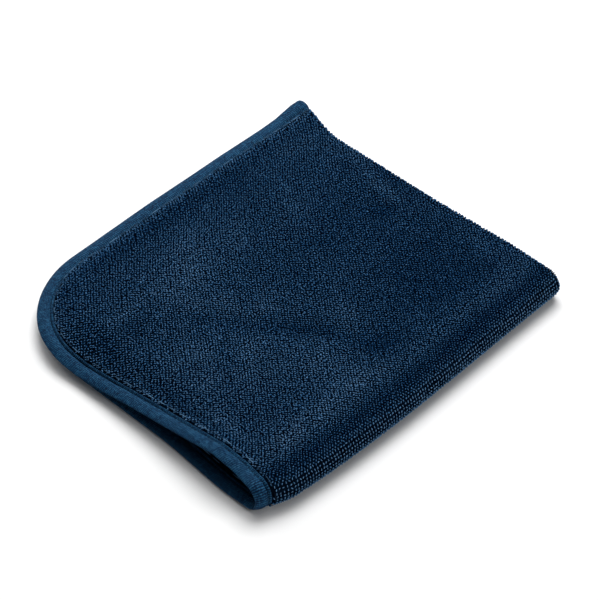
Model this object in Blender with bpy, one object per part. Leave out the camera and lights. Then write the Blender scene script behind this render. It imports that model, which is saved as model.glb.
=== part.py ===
"""A looped microfibre drying cloth with a taped edge, folded in four and lying on a flat surface.

Frame: metres, +Z up, the surface at Z = 0, the folded cloth centred over the origin.
+X points from the open bound edges to the first fold, and +Y from the last fold to the open bound
edges at the back. Each piece is first made flat, at its cut size, and then folded:
    along   runs from the outer layer's open edge (0) over the first fold to the inner layer's edge
    across  runs from the bottom layers' back edge (-) over the last fold (0) to the top layers' (+)
    out     is the height over the middle of the cloth's thickness, towards its outer face
"""

import bmesh
import bpy
import numpy as np
from math import pi

# The cloth as it is cut and bound
CLOTH_LENGTH = 0.540
CLOTH_WIDTH = 0.500
CORNER_RADIUS = 0.070
PILE_THICKNESS = 0.0048
RIM_THICKNESS = 0.0010  # where the tape presses the loops flat
TAPE_WIDTH = 0.0110  # on each face
TAPE_THICKNESS = 0.0032  # both faces and the rim between them
TAPE_WALL = 0.0008
CLEARANCE = 0.0003  # between the rim and the tape

# How it is folded
TOP_WIDTH = 0.253  # the top layers, from the last fold to their back edge
BOTTOM_WIDTH = CLOTH_WIDTH - TOP_WIDTH
LAYER_GAP = 0.0008
STACK_HEIGHT = 0.0225
INNER_RECESS = 0.015  # the inner layer ends this far inside the outer one
INNER_DRAW = 0.014  # and this much further at its back corner
INNER_SHORT = 0.024  # the inner layer stops this far before the outer one at the back
BOTTOM_DRAW = 0.0040  # the outer bottom layer is drawn in this far at its open front edge
DRAW_START = 0.050  # these draws begin about this far behind the last fold
TOP_DRAW = 0.0030  # the top layers are drawn in this far at their open front edge
TOP_DRAW_WHOLE = (0.030, 0.100)  # between these distances behind the last fold
TOP_DRAW_END = 0.190  # and not at all from here
FOLD_BOW = 0.0046  # the last fold bulges forward in its middle
FOLD_SKEW = 0.0035  # and more so towards its open end
FOLD_TUCK = 0.0050  # its open end is tucked back
TUCK_REACH = 0.028
FOLD_TAPER = 0.0018  # the first fold leans inwards behind its front end
FLARE = 0.0140  # and spreads outwards again where it carries the tape
FLARE_REACH = 0.047
FLARE_POWER = 1.3  # 1 spreads it in a straight line, and 2 in a hollow curve
SETTLE = 0.020  # creases and hanging edges begin this far behind the last fold

HALF_PILE = PILE_THICKNESS / 2
LAYER_STEP = PILE_THICKNESS + LAYER_GAP
FIRST_TURN = LAYER_STEP / 2
MIDDLE = STACK_HEIGHT / 2
OUTER_TURN = MIDDLE - HALF_PILE
TURN_RUN = OUTER_TURN * pi / 2
FOLDED_LENGTH = (CLOTH_LENGTH + INNER_RECESS + PILE_THICKNESS - (pi - 2) * FIRST_TURN) / 2
FOLDED_WIDTH = MIDDLE + TOP_WIDTH - TURN_RUN
LEFT = -FOLDED_LENGTH / 2
RIGHT = FOLDED_LENGTH / 2
FRONT = -FOLDED_WIDTH / 2
BOX_CENTRE = (0.00530, -0.00257)  # of the box round the packet, which is moved over the origin

# How far the outer top layer's edge hangs below the flat stack, along its front and along its back.
# Both tables hold the drop of the corner that they share.
FRONT_DROP = (
    # y, drop
    (-0.120, 0.0005),
    (-0.100, -0.0012),
    (-0.078, -0.0035),
    (-0.050, 0.0012),
    (-0.031, 0.0045),
    (-0.013, 0.0070),
    (0.020, 0.0112),
    (0.045, 0.0128),
    (0.075, 0.0094),
)
BACK_DROP = (
    # x, drop, how far in from the edge it reaches
    (-0.100, 0.0094, 0.034),
    (-0.060, 0.0076, 0.030),
    (0.000, 0.0048, 0.024),
    (0.080, 0.0038, 0.020),
    (0.108, 0.0036, 0.020),
    (0.122, 0.0028, 0.024),
    (0.138, -0.0006, 0.030),
)
CORNER_DROP = 0.0094
HANG_START = 0.001
HANGS = {
    # layer: drop, whole up to this far from the edge, none from here inwards
    "inner top": (0.0030, 0.0070, 0.0180),
    "outer bottom": ((PILE_THICKNESS - TAPE_THICKNESS) / 2, 0.0105, 0.0145),
    "inner bottom": (0.0010, 0.0090, 0.0160),
}

# Soft ridges (+) and troughs (-) in the two top layers
CREASES = (
    # x, y, half length, half width, turn in degrees, height
    (-0.025, -0.032, 0.064, 0.013, -55, -0.0012),
    (-0.100, 0.025, 0.034, 0.013, -36, -0.0010),
    (0.072, -0.062, 0.050, 0.015, 4, -0.0010),
    (0.104, 0.006, 0.046, 0.012, 78, -0.0009),
    (-0.047, 0.050, 0.040, 0.026, 20, 0.0014),
    (0.062, 0.052, 0.060, 0.016, 86, 0.0012),
    (0.026, -0.012, 0.030, 0.022, 40, 0.0009),
    (-0.048, -0.099, 0.052, 0.010, -2, 0.0014),
    (0.052, -0.098, 0.052, 0.010, 3, 0.0010),
    (0.124, -0.080, 0.018, 0.024, 0, 0.0009),
    (-0.088, -0.030, 0.034, 0.020, 60, 0.0010),
)

CLOTH_BLUE = (0.006, 0.030, 0.085, 1.0)
TAPE_BLUE = (0.010, 0.060, 0.140, 1.0)


def rise(value, start, end):
    """0 up to start, 1 from end, and an even S between them."""
    part = np.clip((value - start) / (end - start), 0, 1)
    return part * part * (3 - 2 * part)


def inset(along, across):
    """How far a flat point lies inside the cut outline."""
    side = np.minimum(along, CLOTH_LENGTH - along)
    end = np.minimum(TOP_WIDTH - across, across + BOTTOM_WIDTH)
    corner = CORNER_RADIUS - np.hypot(CORNER_RADIUS - side, CORNER_RADIUS - end)
    in_corner = (side < CORNER_RADIUS) & (end < CORNER_RADIUS)
    return np.where(in_corner, corner, np.minimum(side, end))


def hang(layer, edge):
    """How far a layer hangs below the flat stack, this far from its edge."""
    drop, whole, none = HANGS[layer]
    return drop * (1 - rise(edge, whole, none))


def top_drops(x, y, edge):
    """The hang of the outer and of the inner top layer. The outer one's changes from place to place."""
    along, back, reach = zip(*BACK_DROP)
    outer = np.interp(y, *zip(*FRONT_DROP)) + np.interp(x, along, back) - CORNER_DROP
    outer *= 1 - rise(edge, HANG_START, np.interp(x, along, reach))
    return outer, hang("inner top", edge)


def bottom_drops(edge):
    """The same for the two bottom layers."""
    return hang("outer bottom", edge), hang("inner bottom", edge)


def creases(x, y):
    """The height of all ridges and troughs at a place on the packet."""
    height = 0
    for centre_x, centre_y, length, width, turn, tall in CREASES:
        c, s = np.cos(np.radians(turn)), np.sin(np.radians(turn))
        run = ((x - centre_x) * c + (y - centre_y) * s) / length
        off = ((y - centre_y) * c - (x - centre_x) * s) / width
        height = height + tall * np.exp(-run * run - off * off)
    return height


def middle_surface(along, across):
    """Where the middle of the cloth's thickness lies, once folded."""
    top = across > 0

    # The first fold, a half turn as wide as its two layers lie apart
    outer_top, inner_top = top_drops(RIGHT, FRONT + FOLDED_WIDTH, TOP_WIDTH - across)
    outer_bottom, inner_bottom = bottom_drops(across + BOTTOM_WIDTH)
    turn = FIRST_TURN + np.where(top, inner_top - outer_top, outer_bottom - inner_bottom) / 2
    centre = RIGHT - turn - HALF_PILE - FOLD_TAPER * rise(np.abs(across), DRAW_START, TOP_WIDTH / 2)
    centre += FLARE * np.clip(1 - (TOP_WIDTH - across) / FLARE_REACH, 0, 1) ** FLARE_POWER
    start = centre - LEFT
    angle = np.clip((along - start) / turn, 0, pi)
    inner = (1 - np.cos(angle)) / 2  # 0 on the outer layer, 1 on the inner one

    # Outwards to that fold on the outer layer, and back on the inner one
    draw_in = BOTTOM_DRAW * rise(-across, DRAW_START / 2, 2 * DRAW_START)
    whole_from, whole_to = TOP_DRAW_WHOLE
    draw_in += TOP_DRAW * rise(across, 0, whole_from) * (1 - rise(across, whole_to, TOP_DRAW_END))
    out_run = LEFT + along + draw_in * (1 - along / start)
    back_run = np.maximum(along - start - pi * turn, 0)
    whole_back_run = CLOTH_LENGTH - start - pi * turn
    draw = (draw_in + INNER_DRAW * rise(np.abs(across), DRAW_START, TOP_WIDTH)) / whole_back_run
    x = np.where(along < start, out_run, centre + turn * np.sin(angle) - back_run * (1 - draw))

    # The last fold, a half turn round the middle of the stack
    swing = np.clip(across / TURN_RUN, -1, 1) * pi / 2
    radius = OUTER_TURN - LAYER_STEP * inner
    place = np.clip(x / RIGHT, -1, 1)
    bow = (1 - place**2) * (FOLD_BOW - FOLD_SKEW * place)
    bow -= FOLD_TUCK * (1 - rise(x - LEFT, 0, TUCK_REACH))
    run = np.maximum(np.abs(across) - TURN_RUN, 0)
    short = INNER_SHORT * inner * rise(RIGHT - x, 0, FOLDED_LENGTH)
    stretch = 1 + (bow - short) / (TOP_WIDTH - TURN_RUN)
    y = FRONT + MIDDLE - bow - radius * np.cos(swing) + run * stretch
    z = MIDDLE + radius * np.sin(swing)

    # Creases, and the hang of each layer's edge
    edge = inset(along, across)
    outer_top, inner_top = top_drops(x, y, edge)
    outer_bottom, inner_bottom = bottom_drops(edge)
    top_drop = outer_top + (inner_top - outer_top) * inner
    bottom_drop = outer_bottom + (inner_bottom - outer_bottom) * inner
    z += rise(run, 0, SETTLE) * np.where(top, creases(x, y) - top_drop, -bottom_drop)
    return np.stack([x - BOX_CENTRE[0], y - BOX_CENTRE[1], z], -1)


def folded(flat):
    """Flat points (along, across, out) where they lie once folded."""
    along, across, out = flat.T
    step = 1e-4
    lengthwise = middle_surface(along + step, across) - middle_surface(along - step, across)
    crosswise = middle_surface(along, across + step) - middle_surface(along, across - step)
    outward = np.cross(lengthwise, crosswise)
    outward /= np.linalg.norm(outward, axis=1, keepdims=True)
    places = middle_surface(along, across) + out[:, None] * outward
    places[:, 2] = np.maximum(places[:, 2], 0)  # what rests on the surface lies flat
    return places


# The flat pieces share their stations, so that tape and rim keep their clearance round every fold.
PILE_EDGE = 0.0128  # the loops stand at full height from here inwards
RIM_EDGE = TAPE_WALL + CLEARANCE
TAPE_MIDDLE = 0.0060
FOLD_START = FOLDED_LENGTH - FIRST_TURN - HALF_PILE
ALONG_SPANS = (
    # start, end, steps
    (PILE_EDGE, CORNER_RADIUS, 7),
    (CORNER_RADIUS, FOLD_START, 13),
    (FOLD_START, FOLD_START + 0.0105, 10),
    (FOLD_START + 0.0105, FOLD_START + 0.0230, 8),
    (FOLD_START + 0.0230, CLOTH_LENGTH - CORNER_RADIUS, 6),
    (CLOTH_LENGTH - CORNER_RADIUS, CLOTH_LENGTH - PILE_EDGE, 4),
)
ACROSS_SPANS = (
    # start, end, steps
    (PILE_EDGE - BOTTOM_WIDTH, CORNER_RADIUS - BOTTOM_WIDTH, 5),
    (CORNER_RADIUS - BOTTOM_WIDTH, -TURN_RUN - SETTLE, 4),
    (-TURN_RUN - SETTLE, -TURN_RUN, 3),
    (-TURN_RUN, TURN_RUN, 10),
    (TURN_RUN, TURN_RUN + SETTLE, 4),
    (TURN_RUN + SETTLE, TOP_WIDTH - CORNER_RADIUS, 8),
    (TOP_WIDTH - CORNER_RADIUS, TOP_WIDTH - PILE_EDGE, 7),
)
THICKNESS = (
    # distance from the edge, half thickness
    (RIM_EDGE, RIM_THICKNESS / 2),
    (TAPE_MIDDLE, RIM_THICKNESS / 2),
    (0.0114, RIM_THICKNESS / 2),
    (0.0120, 0.0020),
    (PILE_EDGE, HALF_PILE),
)
TAPE_FACE = (
    # distance from the edge, height over the middle
    (TAPE_WIDTH, 0.0013),
    (TAPE_WIDTH - 0.0007, TAPE_THICKNESS / 2),
    (0.0018, TAPE_THICKNESS / 2),
    (0.0005, 0.0010),
)


def stations(spans):
    """The places where rows of points lie: even steps through each span."""
    rows = [spans[0][0]]
    for start, end, steps in spans:
        rows.extend(np.linspace(start, end, steps + 1)[1:])
    return np.array(rows)


def rounded(along, across):
    """Draws the corners of a rectangle of points into the rounded corners of the pile's edge."""
    radius = CORNER_RADIUS - PILE_EDGE
    core_along = np.clip(along, CORNER_RADIUS, CLOTH_LENGTH - CORNER_RADIUS)
    core_across = np.clip(across, CORNER_RADIUS - BOTTOM_WIDTH, TOP_WIDTH - CORNER_RADIUS)
    a, b = (along - core_along) / radius, (across - core_across) / radius
    return (
        core_along + radius * a * np.sqrt(1 - b * b / 2),
        core_across + radius * b * np.sqrt(1 - a * a / 2),
    )


def at_edge(along, across, edge):
    """Moves points of the pile's outline straight out or in, to this far from the cut edge."""
    core_along = np.clip(along, CORNER_RADIUS, CLOTH_LENGTH - CORNER_RADIUS)
    core_across = np.clip(across, CORNER_RADIUS - BOTTOM_WIDTH, TOP_WIDTH - CORNER_RADIUS)
    scale = (CORNER_RADIUS - edge) / np.hypot(along - core_along, across - core_across)
    return core_along + (along - core_along) * scale, core_across + (across - core_across) * scale


def fold_and_finish(bm, name, look, collection):
    """Folds a flat piece, and makes it an object."""
    for vert, place in zip(bm.verts, folded(np.array([vert.co for vert in bm.verts], float))):
        vert.co = place
    bmesh.ops.recalc_face_normals(bm, faces=bm.faces)
    mesh = bpy.data.meshes.new(name)
    bm.to_mesh(mesh)
    bm.free()
    mesh.shade_smooth()
    mesh.materials.append(look)
    collection.objects.link(bpy.data.objects.new(name, mesh))


def cloth(look, collection):
    """One panel: a grid of pile, its rows placed at the stations, and a thin rim drawn out from it."""
    rows_along, rows_across = stations(ALONG_SPANS), stations(ACROSS_SPANS)
    bm = bmesh.new()
    steps_along, steps_across = len(rows_along) - 1, len(rows_across) - 1
    bmesh.ops.create_grid(bm, x_segments=steps_along, y_segments=steps_across, size=0.5)
    for vert in bm.verts:
        along = rows_along[round((vert.co.x + 0.5) * steps_along)]
        across = rows_across[round((vert.co.y + 0.5) * steps_across)]
        vert.co.xy = rounded(along, across)
    for edge, _ in reversed(THICKNESS[:-1]):
        border = [e for e in bm.edges if e.is_boundary]
        drawn = bmesh.ops.extrude_edge_only(bm, edges=border)["geom"]
        for vert in (part for part in drawn if isinstance(part, bmesh.types.BMVert)):
            vert.co.xy = at_edge(vert.co.x, vert.co.y, edge)
    bmesh.ops.recalc_face_normals(bm, faces=bm.faces)
    bmesh.ops.solidify(bm, geom=bm.faces[:], thickness=PILE_THICKNESS)
    for vert in bm.verts:
        half = np.interp(inset(vert.co.x, vert.co.y), *zip(*THICKNESS))
        vert.co.z = half if vert.co.z > -HALF_PILE / 2 else -half
    fold_and_finish(bm, "cloth", look, collection)


def binding(look, collection):
    """One tape, folded over the rim: a grid rolled up into a channel, and its ends joined."""
    rows_along, rows_across = stations(ALONG_SPANS), stations(ACROSS_SPANS)
    near, far, low, high = rows_along[0], rows_along[-1], rows_across[0], rows_across[-1]
    walk = [(along, low) for along in rows_along[:-1]]
    walk += [(far, across) for across in rows_across[:-1]]
    walk += [(along, high) for along in rows_along[:0:-1]]
    walk += [(near, across) for across in rows_across[:0:-1]]
    half_channel = RIM_THICKNESS / 2 + CLEARANCE
    section = list(TAPE_FACE) + [(0, 0)] + [(edge, -height) for edge, height in reversed(TAPE_FACE)]
    section += [(edge, -half_channel) for edge in (TAPE_WIDTH, TAPE_MIDDLE, TAPE_WALL)]
    section += [(edge, half_channel) for edge in (TAPE_WALL, TAPE_MIDDLE, TAPE_WIDTH)]
    bm = bmesh.new()
    bmesh.ops.create_grid(bm, x_segments=len(walk), y_segments=len(section), size=0.5)
    for vert in bm.verts:
        place = round((vert.co.x + 0.5) * len(walk)) % len(walk)
        edge, height = section[round((vert.co.y + 0.5) * len(section)) % len(section)]
        along, across = at_edge(*rounded(*walk[place]), edge)
        vert.co = (along, across, height)
    bmesh.ops.remove_doubles(bm, verts=bm.verts, dist=1e-6)
    fold_and_finish(bm, "binding", look, collection)


def material(name, colour, roughness):
    """A plain cloth shader."""
    made = bpy.data.materials.new(name)
    made.use_nodes = True
    shader = made.node_tree.nodes["Principled BSDF"]
    shader.inputs["Base Color"].default_value = colour
    shader.inputs["Roughness"].default_value = roughness
    shader.inputs["Metallic"].default_value = 0.0
    return made


for old in list(bpy.data.objects):
    bpy.data.objects.remove(old)
drying_cloth = bpy.data.collections.new("drying_cloth")
bpy.context.scene.collection.children.link(drying_cloth)
cloth(material("looped microfibre", CLOTH_BLUE, 0.95), drying_cloth)
binding(material("knitted tape", TAPE_BLUE, 0.80), drying_cloth)
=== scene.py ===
from math import cos, pi, radians, sin

import bmesh
import bpy
import numpy as np
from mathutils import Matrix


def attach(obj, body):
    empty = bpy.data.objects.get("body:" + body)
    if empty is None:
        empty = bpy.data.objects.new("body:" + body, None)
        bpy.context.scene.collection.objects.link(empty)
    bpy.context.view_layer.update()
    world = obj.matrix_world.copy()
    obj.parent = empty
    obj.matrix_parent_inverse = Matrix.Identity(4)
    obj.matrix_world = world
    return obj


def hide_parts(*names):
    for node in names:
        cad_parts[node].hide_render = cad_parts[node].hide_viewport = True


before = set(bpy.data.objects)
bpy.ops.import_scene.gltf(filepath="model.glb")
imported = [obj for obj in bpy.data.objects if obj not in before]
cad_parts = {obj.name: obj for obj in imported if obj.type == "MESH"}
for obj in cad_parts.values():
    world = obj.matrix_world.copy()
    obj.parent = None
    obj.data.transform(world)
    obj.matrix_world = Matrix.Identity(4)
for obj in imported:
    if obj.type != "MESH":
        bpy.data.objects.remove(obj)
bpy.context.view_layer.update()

# ---- Camera --------------------------------------------------------------------------------------
# It looks down on the folded cloth's open front corner, through a long lens, with the last fold on
# the right and the open bound edges on the left.

VIEW_TURN = radians(45.585)
VIEW_TILT = radians(43.622)
VIEW_DISTANCE = 1.7626
VIEW_AIM = (0.01122, -0.00064)
camera_data = bpy.data.cameras.new("camera")
camera_data.sensor_width = 36.0
camera_data.lens = 160.0
camera_data.clip_start = 0.05
camera = bpy.data.objects.new("camera", camera_data)
camera.location = (
    VIEW_AIM[0] - VIEW_DISTANCE * cos(VIEW_TILT) * sin(VIEW_TURN),
    VIEW_AIM[1] - VIEW_DISTANCE * cos(VIEW_TILT) * cos(VIEW_TURN),
    VIEW_DISTANCE * sin(VIEW_TILT),
)
camera.rotation_euler = (pi / 2 - VIEW_TILT, 0, -VIEW_TURN)
bpy.context.scene.collection.objects.link(camera)
bpy.context.scene.camera = camera

# ---- The cloth -----------------------------------------------------------------------------------
# One panel of dark blue microfibre, knitted with loops on both faces and cut with rounded corners.
# It is folded in half lengthwise, then crosswise, and lies on its lowest layer. Every piece is made
# flat and then folded by one mapping, so that all of them lie on the same folds.

CLOTH_LENGTH = 0.540
CLOTH_WIDTH = 0.500
CORNER_RADIUS = 0.070
PILE_THICKNESS = 0.0048
TOP_WIDTH = 0.253  # the top layers, from the last fold to their back edge
BOTTOM_WIDTH = CLOTH_WIDTH - TOP_WIDTH
LAYER_GAP = 0.0008
STACK_HEIGHT = 0.0225
INNER_RECESS = 0.015  # the inner layer ends this far inside the outer one
INNER_DRAW = 0.014  # and this much further at its back corner
INNER_SHORT = 0.024  # the inner layer stops this far before the outer one at the back
BOTTOM_DRAW = 0.0040  # the outer bottom layer is drawn in this far at its open front edge
DRAW_START = 0.050  # these draws begin about this far behind the last fold
TOP_DRAW = 0.0030  # the top layers are drawn in this far at their open front edge
TOP_DRAW_WHOLE = (0.030, 0.100)  # between these distances behind the last fold
TOP_DRAW_END = 0.190  # and not at all from here
FOLD_BOW = 0.0046  # the last fold bulges forward in its middle
FOLD_SKEW = 0.0035  # and more so towards its open end
FOLD_TUCK = 0.0050  # its open end is tucked back
TUCK_REACH = 0.028
FOLD_TAPER = 0.0018  # the first fold leans inwards behind its front end
FLARE = 0.0140  # and spreads outwards again where it carries the tape
FLARE_REACH = 0.047
FLARE_POWER = 1.3  # 1 spreads it in a straight line, and 2 in a hollow curve
SETTLE = 0.020  # creases and hanging edges begin this far behind the last fold

HALF_PILE = PILE_THICKNESS / 2
LAYER_STEP = PILE_THICKNESS + LAYER_GAP
FIRST_TURN = LAYER_STEP / 2
MIDDLE = STACK_HEIGHT / 2
OUTER_TURN = MIDDLE - HALF_PILE
TURN_RUN = OUTER_TURN * pi / 2
FOLDED_LENGTH = (CLOTH_LENGTH + INNER_RECESS + PILE_THICKNESS - (pi - 2) * FIRST_TURN) / 2
FOLDED_WIDTH = MIDDLE + TOP_WIDTH - TURN_RUN
LEFT = -FOLDED_LENGTH / 2
RIGHT = FOLDED_LENGTH / 2
FRONT = -FOLDED_WIDTH / 2
BOX_CENTRE = (0.00530, -0.00257)

FRONT_DROP = (
    # y, how far the outer top layer's open edge hangs below the flat stack
    (-0.120, 0.0005),
    (-0.100, -0.0012),
    (-0.078, -0.0035),
    (-0.050, 0.0012),
    (-0.031, 0.0045),
    (-0.013, 0.0070),
    (0.020, 0.0112),
    (0.045, 0.0128),
    (0.075, 0.0094),
)
BACK_DROP = (
    # x, drop of its back edge, how far in from the edge it reaches
    (-0.100, 0.0094, 0.034),
    (-0.060, 0.0076, 0.030),
    (0.000, 0.0048, 0.024),
    (0.080, 0.0038, 0.020),
    (0.108, 0.0036, 0.020),
    (0.122, 0.0028, 0.024),
    (0.138, -0.0006, 0.030),
)
CORNER_DROP = 0.0094
HEM_WIDER = 0.14  # the share by which the hem is wider along the top layers' back edge
HEM_INSET = (0.014, 0.060)  # whole up to this far from the cut edge, and none from here inwards
HEM_START = (0.035, 0.110)  # it grows over this stretch along the cloth
HANG_START = 0.001
HANGS = {
    # layer: drop, whole up to this far from the edge, none from here inwards
    "inner top": (0.0030, 0.0070, 0.0180),
    "outer bottom": (0.0008, 0.0105, 0.0145),
    "inner bottom": (0.0010, 0.0090, 0.0160),
}
CREASES = (
    # x, y, half length, half width, turn in degrees, height
    (-0.025, -0.032, 0.064, 0.013, -55, -0.0012),
    (-0.100, 0.025, 0.034, 0.013, -36, -0.0010),
    (0.072, -0.062, 0.050, 0.015, 4, -0.0010),
    (0.104, 0.006, 0.046, 0.012, 78, -0.0009),
    (-0.047, 0.050, 0.040, 0.026, 20, 0.0014),
    (0.062, 0.052, 0.060, 0.016, 86, 0.0012),
    (0.026, -0.012, 0.030, 0.022, 40, 0.0009),
    (-0.048, -0.099, 0.052, 0.010, -2, 0.0014),
    (0.052, -0.098, 0.052, 0.010, 3, 0.0010),
    (0.124, -0.080, 0.018, 0.024, 0, 0.0009),
    (-0.088, -0.030, 0.034, 0.020, 60, 0.0010),
)


def rise(value, start, end):
    """0 up to start, 1 from end, and an even S between them."""
    part = np.clip((value - start) / (end - start), 0, 1)
    return part * part * (3 - 2 * part)


def corner_core(along, across):
    """The nearest point of the rectangle through the centres of the outline's four corners."""
    return (
        np.clip(along, CORNER_RADIUS, CLOTH_LENGTH - CORNER_RADIUS),
        np.clip(across, CORNER_RADIUS - BOTTOM_WIDTH, TOP_WIDTH - CORNER_RADIUS),
    )


def inset(along, across):
    """How far a flat point lies inside the cut outline."""
    side = np.minimum(along, CLOTH_LENGTH - along)
    end = np.minimum(TOP_WIDTH - across, across + BOTTOM_WIDTH)
    corner = CORNER_RADIUS - np.hypot(CORNER_RADIUS - side, CORNER_RADIUS - end)
    in_corner = (side < CORNER_RADIUS) & (end < CORNER_RADIUS)
    return np.where(in_corner, corner, np.minimum(side, end))


def hang(layer, edge):
    """How far a layer hangs below the flat stack, this far from its edge."""
    drop, whole, none = HANGS[layer]
    return drop * (1 - rise(edge, whole, none))


def top_drops(x, y, edge):
    """The hang of the outer and of the inner top layer. The outer one's changes from place to place."""
    along, back, reach = zip(*BACK_DROP)
    outer = np.interp(y, *zip(*FRONT_DROP)) + np.interp(x, along, back) - CORNER_DROP
    outer *= 1 - rise(edge, HANG_START, np.interp(x, along, reach))
    return outer, hang("inner top", edge)


def bottom_drops(edge):
    return hang("outer bottom", edge), hang("inner bottom", edge)


def bumps(table, x, y):
    """The sum of a table's soft oval bumps at a place on the packet."""
    height = 0
    for centre_x, centre_y, length, width, turn, tall in table:
        c, s = cos(radians(turn)), sin(radians(turn))
        run = ((x - centre_x) * c + (y - centre_y) * s) / length
        off = ((y - centre_y) * c - (x - centre_x) * s) / width
        height = height + tall * np.exp(-run * run - off * off)
    return height


def first_fold(across):
    """Where the first fold's turn is centred, and how wide it is, along its length."""
    outer_top, inner_top = top_drops(RIGHT, FRONT + FOLDED_WIDTH, TOP_WIDTH - across)
    outer_bottom, inner_bottom = bottom_drops(across + BOTTOM_WIDTH)
    hangs = np.where(across > 0, inner_top - outer_top, outer_bottom - inner_bottom)
    turn = FIRST_TURN + hangs / 2
    centre = RIGHT - turn - HALF_PILE - FOLD_TAPER * rise(np.abs(across), DRAW_START, TOP_WIDTH / 2)
    centre += FLARE * np.clip(1 - (TOP_WIDTH - across) / FLARE_REACH, 0, 1) ** FLARE_POWER
    return centre, turn


def middle_surface(along, across):
    """Where the middle of the cloth's thickness lies, once folded.

    along runs from the outer layer's open edge over the first fold to the inner layer's edge, and
    across from the bottom layers' back edge over the last fold, where it is 0, to the top layers'.
    """
    # The first fold
    centre, turn = first_fold(across)
    start = centre - LEFT
    angle = np.clip((along - start) / turn, 0, pi)
    inner = (1 - np.cos(angle)) / 2

    # Outwards to that fold on the outer layer, and back on the inner one
    draw_in = BOTTOM_DRAW * rise(-across, DRAW_START / 2, 2 * DRAW_START)
    whole_from, whole_to = TOP_DRAW_WHOLE
    draw_in += TOP_DRAW * rise(across, 0, whole_from) * (1 - rise(across, whole_to, TOP_DRAW_END))
    out_run = LEFT + along + draw_in * (1 - along / start)
    back_run = np.maximum(along - start - pi * turn, 0)
    whole_back_run = CLOTH_LENGTH - start - pi * turn
    draw = (draw_in + INNER_DRAW * rise(np.abs(across), DRAW_START, TOP_WIDTH)) / whole_back_run
    x = np.where(along < start, out_run, centre + turn * np.sin(angle) - back_run * (1 - draw))

    # The last fold, a half turn round the middle of the stack
    swing = np.clip(across / TURN_RUN, -1, 1) * pi / 2
    radius = OUTER_TURN - LAYER_STEP * inner
    place = np.clip(x / RIGHT, -1, 1)
    bow = (1 - place**2) * (FOLD_BOW - FOLD_SKEW * place)
    bow -= FOLD_TUCK * (1 - rise(x - LEFT, 0, TUCK_REACH))
    run = np.maximum(np.abs(across) - TURN_RUN, 0)
    short = INNER_SHORT * inner * rise(RIGHT - x, 0, FOLDED_LENGTH)
    stretch = 1 + (bow - short) / (TOP_WIDTH - TURN_RUN)
    y = FRONT + MIDDLE - bow - radius * np.cos(swing) + run * stretch
    z = MIDDLE + radius * np.sin(swing)

    # Creases, and the hang of each layer's edge
    edge = inset(along, across)
    outer_top, inner_top = top_drops(x, y, edge)
    outer_bottom, inner_bottom = bottom_drops(edge)
    top_drop = outer_top + (inner_top - outer_top) * inner
    bottom_drop = outer_bottom + (inner_bottom - outer_bottom) * inner
    z += rise(run, 0, SETTLE) * np.where(across > 0, bumps(CREASES, x, y) - top_drop, -bottom_drop)
    return np.stack([x - BOX_CENTRE[0], y - BOX_CENTRE[1], z], -1)


def hemmed(along, across):
    """Takes flat points further in along the top layers' back edge, where the hem is wider."""
    core_along, core_across = corner_core(along, across)
    from_core = np.maximum(np.hypot(along - core_along, across - core_across), 1e-9)
    edge = np.maximum(CORNER_RADIUS - from_core, 0)
    wider = HEM_WIDER * rise(along, *HEM_START)
    wider = wider * rise(across, 0, HEM_INSET[1]) * (1 - rise(edge, *HEM_INSET))
    scale = np.where(edge < HEM_INSET[1], 1 - wider * edge / from_core, 1)
    return core_along + (along - core_along) * scale, core_across + (across - core_across) * scale


def folded(flat):
    """Flat points (along, across, out) once folded. out is the height over the middle surface."""
    along, across, out = np.asarray(flat, float).T
    along, across = hemmed(along, across)
    step = 1e-4
    lengthwise = middle_surface(along + step, across) - middle_surface(along - step, across)
    crosswise = middle_surface(along, across + step) - middle_surface(along, across - step)
    outward = np.cross(lengthwise, crosswise)
    outward /= np.linalg.norm(outward, axis=1, keepdims=True)
    places = middle_surface(along, across) + out[:, None] * outward
    places[:, 2] = np.maximum(places[:, 2], 0)
    return places


def spaced(*spans):
    """Rows through spans of (start, end, spacing), one at each end of each span."""
    rows = [spans[0][0]]
    for start, end, spacing in spans:
        rows.extend(np.linspace(start, end, max(1, round((end - start) / spacing)) + 1)[1:])
    return np.array(rows)


def add_piece(mesh, name, look):
    """Makes a mesh that is already in place a piece of the cloth."""
    mesh.shade_smooth()
    mesh.materials.append(look)
    piece = bpy.data.objects.new(name, mesh)
    bpy.context.scene.collection.objects.link(piece)
    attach(piece, "root")
    return piece


def node(look, kind, settings=(), **inputs):
    """Adds a shader node. An input is a value, or the socket that feeds it."""
    made = look.node_tree.nodes.new(kind)
    for name, value in dict(settings).items():
        setattr(made, name, value)
    for name, value in inputs.items():
        socket = made.inputs[int(name[1:])] if name[0] == "i" and name[1:].isdigit() else made.inputs[name]
        if isinstance(value, bpy.types.NodeSocket):
            look.node_tree.links.new(value, socket)
        else:
            socket.default_value = value
    return made


def cloth_look(name, roughness, gloss):
    """A cloth material, and its shader."""
    look = bpy.data.materials.new(name)
    look.use_nodes = True
    shader = look.node_tree.nodes["Principled BSDF"]
    shader.inputs["Roughness"].default_value = roughness
    shader.inputs["Specular IOR Level"].default_value = gloss
    return look, shader


def ramp(look, factor, *stops):
    """A colour ramp through (position, colour) stops."""
    made = node(look, "ShaderNodeValToRGB", Fac=factor)
    while len(made.color_ramp.elements) < len(stops):
        made.color_ramp.elements.new(0.5)
    for element, (position, colour) in zip(made.color_ramp.elements, stops):
        element.position = position
        element.color = (*colour, 1)
    return made.outputs["Color"]


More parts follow.
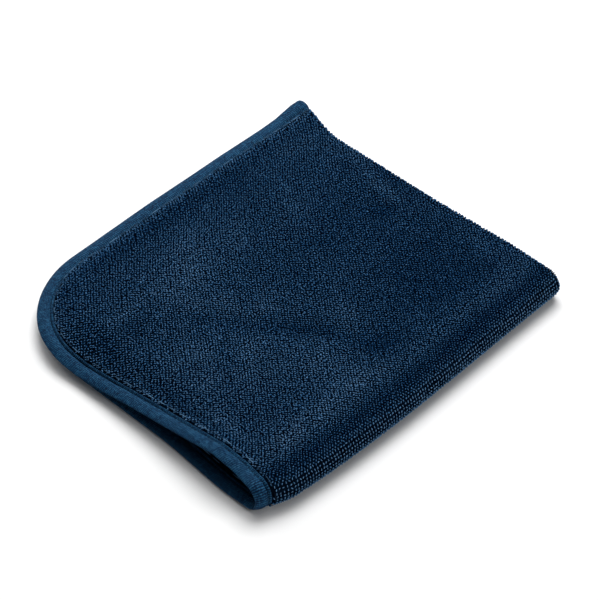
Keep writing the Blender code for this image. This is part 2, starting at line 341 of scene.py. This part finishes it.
PILE_EDGE = 0.0128  # the pile is whole from this far inside the cut edge
RIM_HALF = 0.0005  # half the thickness of the edge that the tape presses flat
RIM_EDGE = 0.0011  # how far that edge stays inside the tape's fold
LOOP_BED = 0.0010  # the backing lies this far below the pile's surface, and less round the last fold
INNER_BED = 0.0001  # and this far on the faces that show no loops
LOOPED_TURN = (-0.4, 0.95)  # the part of the first fold's turn that shows loops
FOLD_START = FOLDED_LENGTH - FIRST_TURN - HALF_PILE
SHEET_EDGES = (
    # distance from the edge, share of the full height over the rim
    (RIM_EDGE, 0.0),
    (0.0113, 0.0),
    (0.0117, 0.6),
    (0.0122, 0.9),
    (PILE_EDGE, 1.0),
)

# Rows of the sheet's grid, closer together where it is folded or creased
rows_along = spaced(
    (PILE_EDGE, CORNER_RADIUS, 0.0045),
    (CORNER_RADIUS, FOLD_START, 0.0050),
    (FOLD_START, FOLD_START + 0.0105, 0.0006),
    (FOLD_START + 0.0105, FOLD_START + 0.0230, 0.0015),
    (FOLD_START + 0.0230, CLOTH_LENGTH - CORNER_RADIUS, 0.0090),
    (CLOTH_LENGTH - CORNER_RADIUS, CLOTH_LENGTH - PILE_EDGE, 0.0060),
)
rows_across = spaced(
    (PILE_EDGE - BOTTOM_WIDTH, CORNER_RADIUS - BOTTOM_WIDTH, 0.0060),
    (CORNER_RADIUS - BOTTOM_WIDTH, -TURN_RUN - SETTLE, 0.0080),
    (-TURN_RUN - SETTLE, -TURN_RUN, 0.0040),
    (-TURN_RUN, TURN_RUN, 0.0009),
    (TURN_RUN, TURN_RUN + SETTLE, 0.0030),
    (TURN_RUN + SETTLE, TOP_WIDTH - CORNER_RADIUS, 0.0050),
    (TOP_WIDTH - CORNER_RADIUS, TOP_WIDTH - PILE_EDGE, 0.0040),
)


def to_round_corners(along, across):
    """Draws a rectangle of points into the rounded corners of the pile's edge."""
    radius = CORNER_RADIUS - PILE_EDGE
    core_along, core_across = corner_core(along, across)
    a, b = (along - core_along) / radius, (across - core_across) / radius
    rounded_along = core_along + radius * a * np.sqrt(1 - b * b / 2)
    return rounded_along, core_across + radius * b * np.sqrt(1 - a * a / 2)


def at_edge(along, across, edge):
    """Moves points of the pile's outline straight out until they lie this far from the cut edge."""
    core_along, core_across = corner_core(along, across)
    scale = (CORNER_RADIUS - edge) / np.hypot(along - core_along, across - core_across)
    return core_along + (along - core_along) * scale, core_across + (across - core_across) * scale


def looped(along, across):
    """Where the loops stand free: on the outer face down to the surface, and round the first fold."""
    centre, turn = first_fold(across)
    past = (along - (centre - LEFT)) / (pi * turn)  # 0 where that fold's turn begins, 1 where it ends
    return (past < LOOPED_TURN[1]) & ((across > -TURN_RUN) | (past > LOOPED_TURN[0]))


bm = bmesh.new()
steps_along, steps_across = len(rows_along) - 1, len(rows_across) - 1
bmesh.ops.create_grid(bm, x_segments=steps_along, y_segments=steps_across, size=0.5)
for vert in bm.verts:
    along = rows_along[round((vert.co.x + 0.5) * steps_along)]
    across = rows_across[round((vert.co.y + 0.5) * steps_across)]
    vert.co.xy = to_round_corners(along, across)
for edge, _ in reversed(SHEET_EDGES[:-1]):
    border = [e for e in bm.edges if e.is_boundary]
    drawn = bmesh.ops.extrude_edge_only(bm, edges=border)["geom"]
    for vert in (part for part in drawn if isinstance(part, bmesh.types.BMVert)):
        vert.co.xy = at_edge(vert.co.x, vert.co.y, edge)
bmesh.ops.recalc_face_normals(bm, faces=bm.faces)
bmesh.ops.solidify(bm, geom=bm.faces[:], thickness=PILE_THICKNESS)
flat = np.array([vert.co for vert in bm.verts], float)
outer_face = flat[:, 2] > -HALF_PILE / 2
bed = LOOP_BED * rise(flat[:, 1], 0, TURN_RUN)
bed = np.where(outer_face & looped(flat[:, 0], flat[:, 1]), bed, INNER_BED)
full = HALF_PILE - bed - RIM_HALF
share = np.interp(inset(flat[:, 0], flat[:, 1]), *zip(*SHEET_EDGES))
flat[:, 2] = np.where(outer_face, 1, -1) * (RIM_HALF + full * share)
cut = bm.loops.layers.uv.new("cut")
for vert, place in zip(bm.verts, folded(flat)):
    for corner in vert.link_loops:
        corner[cut].uv = vert.co.xy
    vert.co = place
bmesh.ops.recalc_face_normals(bm, faces=bm.faces)
sheet_mesh = bpy.data.meshes.new("pile_sheet")
bm.to_mesh(sheet_mesh)
bm.free()

# Knitted backing: almost black blue, painted shade for the depth between the loops and inside the
# folds. It is lighter in the middle of each small knot that holds the loops, with painted shade at
# its edge.
backing, shader = cloth_look("pile_backing", 0.9, 0.0)
cut_map = node(backing, "ShaderNodeUVMap", {"uv_map": "cut"}).outputs["UV"]
knots = node(backing, "ShaderNodeTexVoronoi", {"feature": "SMOOTH_F1"}, Vector=cut_map, Scale=430.0)
fibres = node(backing, "ShaderNodeTexNoise", Vector=cut_map, Scale=1500.0, Detail=3.0)
yarn = ramp(
    backing,
    knots.outputs["Distance"],
    (0.0, (0.0030, 0.0110, 0.0260)),
    (0.4, (0.0010, 0.0045, 0.0120)),
    (0.7, (0.0002, 0.0012, 0.0040)),
)
relief = node(
    backing,
    "ShaderNodeMath",
    {"operation": "SUBTRACT"},
    i0=fibres.outputs["Fac"],
    i1=knots.outputs["Distance"],
)
bump = node(backing, "ShaderNodeBump", Strength=0.9, Distance=0.0009, Height=relief.outputs[0])
backing.node_tree.links.new(yarn, shader.inputs["Base Color"])
backing.node_tree.links.new(bump.outputs["Normal"], shader.inputs["Normal"])
sheet = add_piece(sheet_mesh, "pile_sheet", backing)
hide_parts("cloth")

# ---- The loops -----------------------------------------------------------------------------------
# Short twisted loops of microfibre yarn, knitted into the panel, which stand on its outer face in
# rows. Each is a small oval knot that leans its own way. Patches of them are painted lighter or
# darker, as painted sheen of brushed pile, painted light on ridges and painted shade in creases.
# Round the last fold they stand apart in even rows.

LOOP_PITCH = 0.00235  # along a row
LOOP_ROWS = 0.00138  # from row to row
FOLD_ROWS = 0.00205  # from row to row round the last fold, where all rows stand in line
FOLD_ROWS_END = 0.6 * TURN_RUN
LOOP_LENGTH = 0.0019
LOOP_WIDTH = 0.00086
LOOP_HEIGHT = 0.0018
LOOP_TIP = HALF_PILE + 0.0002
LOOP_EDGE = 0.0115
LOOP_TWIST = 0.7  # radians that a loop turns in half its height
SIZE_RANGE = (0.88, 1.10)
TIP_RANGE = 0.00012  # how far below the tallest a loop's tip may lie
LEAN_SPREAD = 0.30
HEADING_SPREAD = 0.70
SWIRL_HEADING = 0.40
SWIRLS = ((410, 150, 0.3), (-190, 330, 1.7), (260, -420, 4.1), (90, 510, 2.2))  # waves in their lie
SECOND_LOWER = 0.0002  # how much lower the loops of every second row are
# painted shade: how much darker the lower loops of every second row are
SECOND_PAINTED_SHADE = 0.07
FOLD_LIFT = (0.0008, -0.007, 0.011)  # how much prouder they are on the last fold, where, how far
PAINTED_SIDE_SHADE = 0.30  # painted shade: how much darker a loop's sides are
PAINTED_EDGE_LIGHT = (0.22, 0.005)  # painted light: how much lighter the loops beside the tape are, and how far in

# Values on the last fold and on the flat
STRAY = (0.030, 0.085)  # how far a loop stands from its place, in pitches
HEADING = (0.9, -0.8)
SIZE = (0.86, 1.00)
TIP_PAINTED_LIGHT = (1.05, 0.60)  # painted light: how much lighter a loop's tip is than its middle, and painted shade below it

LOOP_PIECES = ("loops_fold", "loops_front", "loops_middle", "loops_back")
# Painted sheen of brushed pile, painted light on ridges and painted shade in creases
BRUSHED_SHEEN_AND_SHADE = (
    # x, y, half length, half width, turn in degrees, painted light or painted shade
    (-0.075, 0.000, 0.090, 0.070, 0, 0.05),
    (-0.060, -0.060, 0.060, 0.055, 0, 0.09),
    (0.090, -0.010, 0.080, 0.060, 90, -0.10),
    (-0.035, 0.050, 0.034, 0.018, 20, 0.22),
    (-0.014, 0.074, 0.018, 0.006, 15, 0.16),
    (-0.052, 0.025, 0.012, 0.007, 90, 0.14),
    (-0.037, 0.013, 0.012, 0.007, 90, 0.16),
    (0.017, 0.056, 0.017, 0.007, 45, 0.15),
    (-0.085, 0.053, 0.024, 0.005, 4, 0.17),
    (-0.080, -0.008, 0.008, 0.006, 60, 0.16),
    (-0.094, -0.004, 0.020, 0.012, 0, 0.10),
    (-0.095, -0.030, 0.008, 0.006, 0, 0.14),
    (-0.060, -0.033, 0.022, 0.008, 38, 0.12),
    (-0.022, -0.005, 0.011, 0.008, 0, 0.15),
    (-0.092, -0.099, 0.014, 0.008, 0, 0.20),
    (-0.028, -0.096, 0.026, 0.009, 0, 0.15),
    (-0.060, -0.099, 0.050, 0.007, 0, 0.10),
    (-0.028, -0.070, 0.018, 0.016, 0, 0.13),
    (0.011, -0.050, 0.016, 0.009, 80, 0.14),
    (-0.112, -0.067, 0.022, 0.005, 90, 0.17),
    (0.060, 0.042, 0.022, 0.010, 60, 0.11),
    (0.118, 0.018, 0.018, 0.005, 80, 0.24),
    (0.131, 0.058, 0.020, 0.006, 80, 0.15),
    (0.108, 0.090, 0.016, 0.010, 0, 0.09),
    (0.106, -0.109, 0.016, 0.008, 0, 0.13),
    (0.122, -0.072, 0.020, 0.005, 80, 0.12),
    (-0.010, 0.100, 0.120, 0.008, 0, -0.14),
    (0.053, 0.088, 0.010, 0.009, 0, -0.10),
    (-0.114, 0.044, 0.014, 0.006, 80, -0.14),
    (-0.118, -0.032, 0.034, 0.005, 88, -0.10),
    (-0.092, 0.040, 0.014, 0.007, 0, -0.09),
    (-0.057, 0.014, 0.012, 0.006, -70, -0.18),
    (-0.040, -0.012, 0.014, 0.008, -35, -0.14),
    (-0.022, -0.034, 0.022, 0.007, -48, -0.20),
    (-0.005, -0.062, 0.022, 0.006, -65, -0.15),
    (0.008, -0.085, 0.018, 0.012, 0, -0.21),
    (-0.072, -0.028, 0.007, 0.006, 0, -0.11),
    (-0.078, -0.070, 0.020, 0.012, 0, -0.08),
    (0.072, -0.060, 0.050, 0.024, 10, -0.10),
    (0.090, -0.082, 0.040, 0.014, 0, -0.09),
    (0.103, 0.002, 0.010, 0.007, -30, -0.14),
    (0.132, 0.022, 0.020, 0.005, 80, -0.11),
    (0.050, 0.014, 0.050, 0.018, 0, -0.05),
    (0.016, -0.006, 0.008, 0.020, 0, -0.06),
)
# Painted shade on the last fold's shoulder and painted light on its face
FOLD_PAINTED_BANDS = (
    # distance behind the middle of the last fold, half width, painted light or painted shade
    (0.0280, 0.0070, 0.08),
    (0.0130, 0.0065, -0.36),
    (-0.0010, 0.0075, 0.50),
)
LOOP_SPREAD = 0.04  # how much lighter or darker one loop is than the next
FIBRE_CONTRAST = 0.9

rng = np.random.default_rng(11)
fold_rows = np.arange(-TURN_RUN, FOLD_ROWS_END, FOLD_ROWS)
rows = np.concatenate(
    [
        np.arange(LOOP_EDGE - BOTTOM_WIDTH, -TURN_RUN - LOOP_ROWS, LOOP_ROWS),
        fold_rows,
        np.arange(fold_rows[-1] + LOOP_ROWS, TOP_WIDTH - LOOP_EDGE, LOOP_ROWS),
    ]
)
along, across = np.meshgrid(np.arange(LOOP_EDGE, CLOTH_LENGTH - LOOP_EDGE, LOOP_PITCH), rows)
second = (np.arange(rows.size) % 2 * ~np.isin(rows, fold_rows))[:, None] + 0 * along
along = along + second * LOOP_PITCH / 2
along, across, second = along.ravel(), across.ravel(), second.ravel()
loose = rise(across, 0, 2 * TURN_RUN)  # 0 on the last fold, 1 on the flat
swirl = loose * sum(np.sin(along * a + across * b + c) for a, b, c in SWIRLS)


def eased(values):
    """A value for each loop, between the one on the last fold and the one on the flat."""
    return values[0] + (values[1] - values[0]) * loose


stray = eased(STRAY) * LOOP_PITCH
along = along + stray * rng.normal(0, 1, along.size)
across = across + stray * rng.normal(0, 1, across.size)
standing = looped(along, across) & (inset(along, across) > LOOP_EDGE)
along, across, second = along[standing], across[standing], second[standing]
swirl, loose = swirl[standing], loose[standing]
count = along.size

# The way each loop lies and leans
turned = eased(HEADING) + SWIRL_HEADING * swirl + rng.normal(0, HEADING_SPREAD, count)
lean = rng.normal(0, LEAN_SPREAD, (2, count))
size = rng.uniform(*SIZE_RANGE, count) * eased(SIZE)
lift, lifted_at, lifted_over = FOLD_LIFT
tips = LOOP_TIP - rng.uniform(0, TIP_RANGE, count) - SECOND_LOWER * second
tips += lift * np.exp(-(((across - lifted_at) / lifted_over) ** 2))

bm = bmesh.new()
bmesh.ops.create_icosphere(bm, subdivisions=1, radius=1.0)
bm.verts.index_update()
loop_points = np.array([vert.co for vert in bm.verts], float)
loop_faces = [[vert.index for vert in face.verts] for face in bm.faces]
bm.free()

x = loop_points[:, 0] * LOOP_LENGTH / 2
y = loop_points[:, 1] * LOOP_WIDTH / 2
up = loop_points[:, 2] * LOOP_HEIGHT / 2
heading = turned[:, None] + LOOP_TWIST * loop_points[:, 2]
c, s = np.cos(heading), np.sin(heading)
flat = np.stack(
    [
        along[:, None] + size[:, None] * (x * c - y * s) + lean[0][:, None] * np.maximum(up, 0),
        across[:, None] + size[:, None] * (x * s + y * c) + lean[1][:, None] * np.maximum(up, 0),
        (tips - LOOP_HEIGHT / 2)[:, None] + up,
    ],
    -1,
)
places = folded(flat.reshape(-1, 3)).reshape(flat.shape)
roots = middle_surface(*hemmed(along, across))
# Each loop's tone: painted light and shade from patches, fold bands, edge, rows, tips and sides, plus a
# random spread
own_and_painted = 0.5 + bumps(BRUSHED_SHEEN_AND_SHADE, roots[:, 0] + BOX_CENTRE[0], roots[:, 1] + BOX_CENTRE[1])
for behind, width, lighter in FOLD_PAINTED_BANDS:
    own_and_painted += lighter * np.exp(-(((across - behind) / width) ** 2))
own_and_painted += PAINTED_EDGE_LIGHT[0] * (1 - rise(inset(along, across), LOOP_EDGE, LOOP_EDGE + PAINTED_EDGE_LIGHT[1]))
own_and_painted += rng.normal(0, LOOP_SPREAD, count) - SECOND_PAINTED_SHADE * second
painted_tip_light = eased(TIP_PAINTED_LIGHT)[:, None] * loop_points[:, 2]
tone = np.clip(own_and_painted[:, None] + painted_tip_light - PAINTED_SIDE_SHADE * np.abs(loop_points[:, 1]), 0, 1)

# Yarn: deep blue, with painted shade low on each loop and at its sides, and painted light at its tip
pile_yarn, shader = cloth_look("pile_yarn", 0.7, 0.0)
tone_value = node(pile_yarn, "ShaderNodeAttribute", {"attribute_name": "tone"}).outputs["Fac"]
place = node(pile_yarn, "ShaderNodeTexCoord").outputs["Object"]
fibres = node(pile_yarn, "ShaderNodeTexNoise", Vector=place, Scale=800.0, Detail=3.0, Roughness=0.7)
scatter = node(
    pile_yarn,
    "ShaderNodeMath",
    {"operation": "MULTIPLY_ADD"},
    i0=fibres.outputs["Fac"],
    i1=FIBRE_CONTRAST,
    i2=-FIBRE_CONTRAST / 2,
)
shade = node(
    pile_yarn,
    "ShaderNodeMath",
    {"operation": "ADD", "use_clamp": True},
    i0=tone_value,
    i1=scatter.outputs[0],
)
yarn = ramp(
    pile_yarn,
    shade.outputs[0],
    (0.10, (0.0000, 0.0024, 0.0170)),
    (0.45, (0.0045, 0.0280, 0.0900)),
    (0.75, (0.0210, 0.0900, 0.2050)),
    (1.0, (0.1100, 0.2300, 0.4000)),
)
bump = node(pile_yarn, "ShaderNodeBump", Strength=0.5, Distance=0.00015, Height=fibres.outputs["Fac"])
pile_yarn.node_tree.links.new(yarn, shader.inputs["Base Color"])
pile_yarn.node_tree.links.new(bump.outputs["Normal"], shader.inputs["Normal"])


def repeated(name, points, faces, values):
    """One mesh of many like shapes, from (shape, point, 3) points. values, a number each, go in tone."""
    shapes, size_of_one, _ = points.shape
    corners = np.concatenate([np.array(face) for face in faces])
    lengths = np.array([len(face) for face in faces])
    mesh = bpy.data.meshes.new(name)
    mesh.vertices.add(shapes * size_of_one)
    mesh.loops.add(shapes * corners.size)
    mesh.polygons.add(shapes * lengths.size)
    mesh.vertices.foreach_set("co", points.astype(np.float32).ravel())
    first = np.arange(shapes)[:, None] * size_of_one
    mesh.loops.foreach_set("vertex_index", (first + corners[None, :]).astype(np.int32).ravel())
    starts = np.concatenate([[0], np.cumsum(np.tile(lengths, shapes))[:-1]])
    mesh.polygons.foreach_set("loop_start", starts.astype(np.int32))
    mesh.update(calc_edges=True)
    tones = mesh.attributes.new("tone", "FLOAT", "POINT")
    tones.data.foreach_set("value", values.astype(np.float32).ravel())
    return mesh


for name, chosen in zip(LOOP_PIECES, np.array_split(np.argsort(across), len(LOOP_PIECES))):
    mesh = repeated(name, places[chosen], loop_faces, tone[chosen])
    add_piece(mesh, name, pile_yarn)

# ---- The binding ---------------------------------------------------------------------------------
# A lighter blue knitted tape, folded over the cut edge and sewn down through both faces. It has fine
# ribs across its width, and the seam pulls a groove near its inner edge.

TAPE_WIDTH = 0.0110
RIB_PITCH = 0.0014
RIB_HEIGHT = 0.00018
RIB_SHADE = 0.40  # painted shade in the grooves: how much lighter a rib's crest is than the groove beside it
KNIT_SHADE = 0.62  # painted shade: how much darker the gaps in the knit are
SEAM_EDGE = 0.0090
TAPE_FACE = (
    # distance from the edge, height over the middle of the cloth, share of the ribs' height
    (TAPE_WIDTH, 0.0009, 0.0),
    (0.0109, 0.0014, 0.3),
    (0.0105, 0.0018, 0.6),
    (0.0099, 0.0017, 0.6),
    (0.0094, 0.0008, 0.3),
    (0.0087, 0.0008, 0.3),
    (0.0082, 0.0015, 0.8),
    (0.0073, 0.0021, 1.0),
    (0.0056, 0.0023, 1.0),
    (0.0038, 0.0021, 1.0),
    (0.0022, 0.0016, 1.0),
    (0.0010, 0.0010, 1.0),
    (0.0003, 0.0005, 1.0),
)
CHANNEL = ((TAPE_WIDTH, 0.0007), (0.0060, 0.0007), (0.0009, 0.0006))

# The walk round the cut edge: from the bottom layers' front corner along their back edge, and on
quarter = CORNER_RADIUS * pi / 2
low_along, high_along = CORNER_RADIUS, CLOTH_LENGTH - CORNER_RADIUS
low_across, high_across = CORNER_RADIUS - BOTTOM_WIDTH, TOP_WIDTH - CORNER_RADIUS
sides = [high_along - low_along, quarter, high_across - low_across, quarter]
walk_stops = np.cumsum([0] + sides + sides)
walk_along = [low_along] + [high_along] * 4 + [low_along] * 4
walk_across = [low_across] * 3 + [high_across] * 4 + [low_across] * 2
walk_turn = np.array([-1, -1, 0, 0, 1, 1, 2, 2, 3]) * pi / 2
RIM_LENGTH = walk_stops[-1]


def rim(walked, edge):
    """The flat point this far along the cut edge, and this far inside it."""
    turn = np.interp(walked, walk_stops, walk_turn)
    along = np.interp(walked, walk_stops, walk_along) + (CORNER_RADIUS - edge) * np.cos(turn)
    across = np.interp(walked, walk_stops, walk_across) + (CORNER_RADIUS - edge) * np.sin(turn)
    return along, across


other_face = [(edge, -height, ribs) for edge, height, ribs in reversed(TAPE_FACE)]
inside = [(edge, -height, 0.0) for edge, height in CHANNEL]
inside += [(edge, height, 0.0) for edge, height in reversed(CHANNEL)]
section = np.array([*TAPE_FACE, (0.0, 0.0, 1.0), *other_face, *inside])
girth = np.cumsum(np.hypot(*np.diff(section[:, :2], axis=0, prepend=section[:1, :2]).T))
girth = np.append(girth, girth[-1])
stations = 2 * round(RIM_LENGTH / RIB_PITCH)
bm = bmesh.new()
bmesh.ops.create_grid(bm, x_segments=stations, y_segments=len(section), size=0.5)
grid = np.array([vert.co for vert in bm.verts], float)
station = np.rint((grid[:, 0] + 0.5) * stations).astype(int)
row = np.rint((grid[:, 1] + 0.5) * len(section)).astype(int)
edge, height, ribs = section[row % len(section)].T
rib = RIB_HEIGHT * ribs * np.where(station % 2, -0.5, 0.5)
walked = (station % stations) * RIM_LENGTH / stations
rim_along, rim_across = rim(walked, edge - np.where(height == 0, rib, 0))
flat = np.stack([rim_along, rim_across, height + np.sign(height) * rib], -1)
woven = bm.loops.layers.uv.new("woven")
for vert, place, number, level in zip(bm.verts, folded(flat), station, row):
    for corner in vert.link_loops:
        corner[woven].uv = (number / 2, girth[level] / RIB_PITCH)
    vert.co = place
bmesh.ops.remove_doubles(bm, verts=bm.verts, dist=1e-6)
bmesh.ops.recalc_face_normals(bm, faces=bm.faces)
tape_mesh = bpy.data.meshes.new("tape_binding")
bm.to_mesh(tape_mesh)
bm.free()

# Knitted tape: mid blue, with painted shade between its ribs and in the small gaps of the knit
tape_look, shader = cloth_look("knitted_tape", 0.75, 0.08)
woven_map = node(tape_look, "ShaderNodeUVMap", {"uv_map": "woven"}).outputs["UV"]
ribbed = node(
    tape_look,
    "ShaderNodeTexWave",
    {"bands_direction": "X"},
    Vector=woven_map,
    Scale=pi / 10,
    Distortion=1.2,
    Detail=1.0,
)
ribbed.inputs["Phase Offset"].default_value = pi
ribbed.inputs["Detail Scale"].default_value = 2.0
knit = node(tape_look, "ShaderNodeTexVoronoi", Vector=woven_map, Scale=1.6, Randomness=0.8)
worn = node(tape_look, "ShaderNodeTexNoise", Vector=woven_map, Scale=0.30, Detail=5.0, Roughness=0.85)
shade = node(
    tape_look,
    "ShaderNodeMath",
    {"operation": "MULTIPLY_ADD"},
    i0=ribbed.outputs["Fac"],
    i1=RIB_SHADE,
    i2=worn.outputs["Fac"],
)
shade = node(
    tape_look,
    "ShaderNodeMath",
    {"operation": "MULTIPLY_ADD"},
    i0=knit.outputs["Distance"],
    i1=-KNIT_SHADE,
    i2=shade.outputs[0],
)
tape_blue = ramp(
    tape_look,
    shade.outputs[0],
    (0.20, (0.0002, 0.0080, 0.0280)),
    (0.5, (0.0055, 0.0500, 0.1200)),
    (0.75, (0.0300, 0.1200, 0.2200)),
)
bump = node(tape_look, "ShaderNodeBump", Strength=0.5, Distance=0.0002, Height=knit.outputs["Distance"])
bump.invert = True
tape_look.node_tree.links.new(tape_blue, shader.inputs["Base Color"])
tape_look.node_tree.links.new(bump.outputs["Normal"], shader.inputs["Normal"])
tape = add_piece(tape_mesh, "tape_binding", tape_look)
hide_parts("binding")

# ---- The seam ------------------------------------------------------------------------------------
# Polyester thread. A row of lockstitches lies in the tape's groove, almost black there as painted
# shade, and long stitches run beside its inner edge, each lit at random up to pale blue as painted
# glints. The same thread shows on both faces of the cloth.

THREAD_ROWS = (
    # distance from the edge, height over the middle, stitch to stitch, length, thickness, brightest
    # painted glint
    (SEAM_EDGE, 0.00085, 0.0030, 0.0028, 0.00060, 0.0),
    (0.01240, 0.00300, 0.0096, 0.0080, 0.00055, 1.0),
)
STITCH_RANGE = (0.8, 1.1)  # shortest and longest, as shares of the length
STITCH_STRAY = 0.00008

bm = bmesh.new()
bmesh.ops.create_uvsphere(bm, u_segments=5, v_segments=4, radius=1.0)
bm.verts.index_update()
stitch_points = np.array([(vert.co.z, vert.co.x, vert.co.y) for vert in bm.verts], float)
stitch_faces = [[vert.index for vert in face.verts] for face in bm.faces]
bm.free()
sewn = []
stitch_tone = []
for seam_edge, height, pitch, length, thick, brightest_glint in THREAD_ROWS:
    number = np.arange(round(RIM_LENGTH / pitch))
    for face in (1, -1):
        half = rng.uniform(*STITCH_RANGE, number.size) * length / 2
        aside = rng.normal(0, STITCH_STRAY, number.size)
        walked = number[:, None] * RIM_LENGTH / number.size + half[:, None] * stitch_points[:, 0]
        edge = seam_edge + aside[:, None] + thick / 2 * stitch_points[:, 1]
        out = face * (height + thick / 2 * stitch_points[:, 2]) + 0 * walked
        sewn.append(np.stack([*rim(walked % RIM_LENGTH, edge), out], -1))
        stitch_tone.append(brightest_glint * rng.uniform(0, 1, number.size) ** 2)
sewn = np.concatenate(sewn)
stitch_tone = np.repeat(np.concatenate(stitch_tone)[:, None], len(stitch_points), 1)
sewn_places = folded(sewn.reshape(-1, 3)).reshape(sewn.shape)
seam_mesh = repeated("tape_seam", sewn_places, stitch_faces, stitch_tone)
bm = bmesh.new()
bm.from_mesh(seam_mesh)
bmesh.ops.recalc_face_normals(bm, faces=bm.faces)
bm.to_mesh(seam_mesh)
bm.free()

thread_look, shader = cloth_look("seam_thread", 0.6, 0.05)
thread_tone = node(thread_look, "ShaderNodeAttribute", {"attribute_name": "tone"}).outputs["Fac"]
thread_blue = ramp(
    thread_look,
    thread_tone,
    (0.0, (0.0003, 0.0050, 0.0160)),
    (1.0, (0.1100, 0.2400, 0.4000)),
)
thread_look.node_tree.links.new(thread_blue, shader.inputs["Base Color"])
seam = add_piece(seam_mesh, "tape_seam", thread_look)

# ---- The floor and the light ---------------------------------------------------------------------
# A plain pale surface, a hair below the cloth, under soft square lamps. The brightest hangs behind
# the cloth, and the low ones light its sides.

FLOOR_HALF = 6.0
FLOOR_DROP = 0.0003

bm = bmesh.new()
bmesh.ops.create_grid(bm, x_segments=1, y_segments=1, size=FLOOR_HALF)
bmesh.ops.translate(bm, verts=bm.verts, vec=(0, 0, -FLOOR_DROP))
floor_mesh = bpy.data.meshes.new("floor")
bm.to_mesh(floor_mesh)
bm.free()
floor_look = bpy.data.materials.new("floor")
floor_look.use_nodes = True
shader = floor_look.node_tree.nodes["Principled BSDF"]
shader.inputs["Base Color"].default_value = (0.93, 0.93, 0.93, 1)
shader.inputs["Roughness"].default_value = 0.9
shader.inputs["Specular IOR Level"].default_value = 0.0
floor_mesh.materials.append(floor_look)
floor = bpy.data.objects.new("floor", floor_mesh)
bpy.context.scene.collection.objects.link(floor)

LAMPS = (
    # name, place, width, watts
    ("soft_key", (0.84, 0.55, 1.73), 1.5, 46.0),
    ("soft_top", (0.00, 0.00, 2.00), 1.8, 10.0),
    ("low_side", (0.94, -1.63, 0.68), 1.0, 11.0),
    ("low_back", (0.30, 1.75, 0.80), 1.0, 9.0),
    ("low_front", (-1.30, -1.00, 1.10), 1.0, 1.5),
)
for name, place, width, watts in LAMPS:
    lamp_data = bpy.data.lights.new(name, "AREA")
    lamp_data.size = width
    lamp_data.energy = watts
    lamp = bpy.data.objects.new(name, lamp_data)
    lamp.location = place
    lamp.rotation_euler = (-lamp.location).to_track_quat("-Z", "Y").to_euler()
    bpy.context.scene.collection.objects.link(lamp)
world = bpy.data.worlds.new("studio")
world.use_nodes = True
world.node_tree.nodes["Background"].inputs["Color"].default_value = (1, 1, 1, 1)
world.node_tree.nodes["Background"].inputs["Strength"].default_value = 0.04
bpy.context.scene.world = world
bpy.context.scene.view_settings.view_transform = "Standard"
